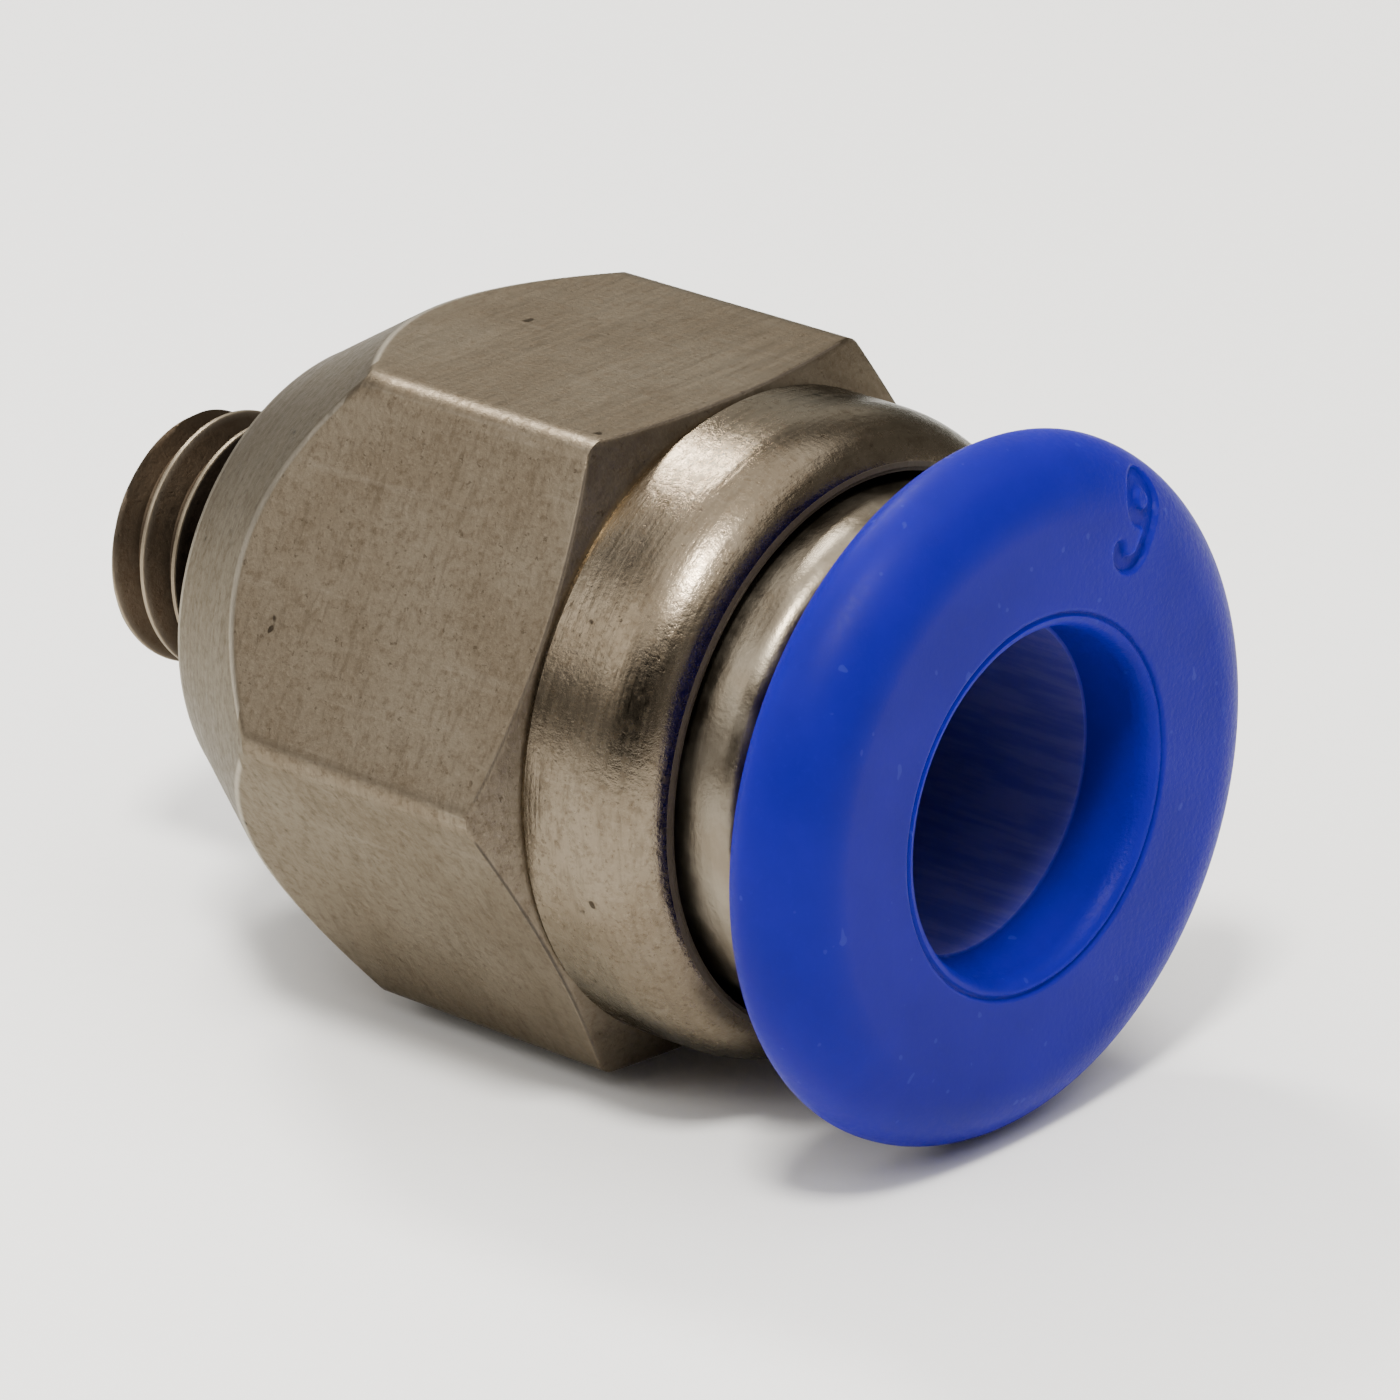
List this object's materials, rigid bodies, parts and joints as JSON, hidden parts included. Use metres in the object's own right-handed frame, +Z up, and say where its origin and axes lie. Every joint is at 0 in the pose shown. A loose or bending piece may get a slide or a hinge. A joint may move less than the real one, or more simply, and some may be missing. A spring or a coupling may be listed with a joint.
{
  "type": "push to connect fitting",
  "caption": "Straight male push to connect tube fitting with a threaded stud, hexagon body, plated guide ring and blue release collar.",
  "frame": {"origin": "on the fitting's axis, halfway along its overall length", "axes": "+X along the axis toward the tube mouth and release collar, +Z up through a hexagon flat"},
  "size_m": [0.0206, 0.0138, 0.0128],
  "materials": {
    "nickel_plated_brass": "nickel plated, turned barrel and brushed flats",
    "plated_guide_metal": "bright nickel plated",
    "blue_acetal": "moulded satin",
    "stainless_claw": "stamped stainless sheet",
    "natural_acetal": "moulded natural acetal",
    "seal_rubber": "moulded nitrile",
    "stud_seal_rubber": "moulded nitrile"
  },
  "bodies": {
    "body": {"hex_body": "nickel_plated_brass", "guide_ring": "plated_guide_metal", "backup_ring": "natural_acetal", "tube_seal": "seal_rubber", "stud_seal": "stud_seal_rubber"},
    "claw": {"claw_base": "stainless_claw"},
    "collar": {"release_collar": "blue_acetal"},
    "tooth_1": {"claw_tooth_1": "stainless_claw"},
    "tooth_2": {"claw_tooth_2": "stainless_claw"},
    "tooth_3": {"claw_tooth_3": "stainless_claw"},
    "tooth_4": {"claw_tooth_4": "stainless_claw"},
    "tooth_5": {"claw_tooth_5": "stainless_claw"},
    "tooth_6": {"claw_tooth_6": "stainless_claw"},
    "tooth_7": {"claw_tooth_7": "stainless_claw"},
    "tooth_8": {"claw_tooth_8": "stainless_claw"}
  },
  "joints": [
    {"name": "claw_swivel", "type": "hinge", "parent": "body", "child": "claw", "pos_m": [0, 0, 0], "axis": [1, 0, 0], "continuous": true},
    {"name": "release_press", "type": "slide", "parent": "claw", "child": "collar", "axis": [-1, 0, 0], "range_m": [0, 0.0009], "stiffness_N_per_m": 1500},
    {"name": "tooth_1_flex", "type": "hinge", "parent": "claw", "child": "tooth_1", "pos_m": [0.00223, 0.00357, 0.00148], "axis": [0, 0.3827, -0.9239], "range_deg": [0, 22.5]},
    {"name": "tooth_2_flex", "type": "hinge", "parent": "claw", "child": "tooth_2", "pos_m": [0.00223, 0.00148, 0.00357], "axis": [0, 0.9239, -0.3827], "range_deg": [0, 22.5]},
    {"name": "tooth_3_flex", "type": "hinge", "parent": "claw", "child": "tooth_3", "pos_m": [0.00223, -0.00148, 0.00357], "axis": [0, 0.9239, 0.3827], "range_deg": [0, 22.5]},
    {"name": "tooth_4_flex", "type": "hinge", "parent": "claw", "child": "tooth_4", "pos_m": [0.00223, -0.00357, 0.00148], "axis": [0, 0.3827, 0.9239], "range_deg": [0, 22.5]},
    {"name": "tooth_5_flex", "type": "hinge", "parent": "claw", "child": "tooth_5", "pos_m": [0.00223, -0.00357, -0.00148], "axis": [0, -0.3827, 0.9239], "range_deg": [0, 22.5]},
    {"name": "tooth_6_flex", "type": "hinge", "parent": "claw", "child": "tooth_6", "pos_m": [0.00223, -0.00148, -0.00357], "axis": [0, -0.9239, 0.3827], "range_deg": [0, 22.5]},
    {"name": "tooth_7_flex", "type": "hinge", "parent": "claw", "child": "tooth_7", "pos_m": [0.00223, 0.00148, -0.00357], "axis": [0, -0.9239, -0.3827], "range_deg": [0, 22.5]},
    {"name": "tooth_8_flex", "type": "hinge", "parent": "claw", "child": "tooth_8", "pos_m": [0.00223, 0.00357, -0.00148], "axis": [0, -0.3827, -0.9239], "range_deg": [0, 22.5]}
  ],
  "couplings": [
    {"joint": "tooth_1_flex", "follows": "release_press", "rad_per_m": 426.64},
    {"joint": "tooth_2_flex", "follows": "release_press", "rad_per_m": 426.64},
    {"joint": "tooth_3_flex", "follows": "release_press", "rad_per_m": 426.64},
    {"joint": "tooth_4_flex", "follows": "release_press", "rad_per_m": 426.64},
    {"joint": "tooth_5_flex", "follows": "release_press", "rad_per_m": 426.64},
    {"joint": "tooth_6_flex", "follows": "release_press", "rad_per_m": 426.64},
    {"joint": "tooth_7_flex", "follows": "release_press", "rad_per_m": 426.64},
    {"joint": "tooth_8_flex", "follows": "release_press", "rad_per_m": 426.64}
  ]
}
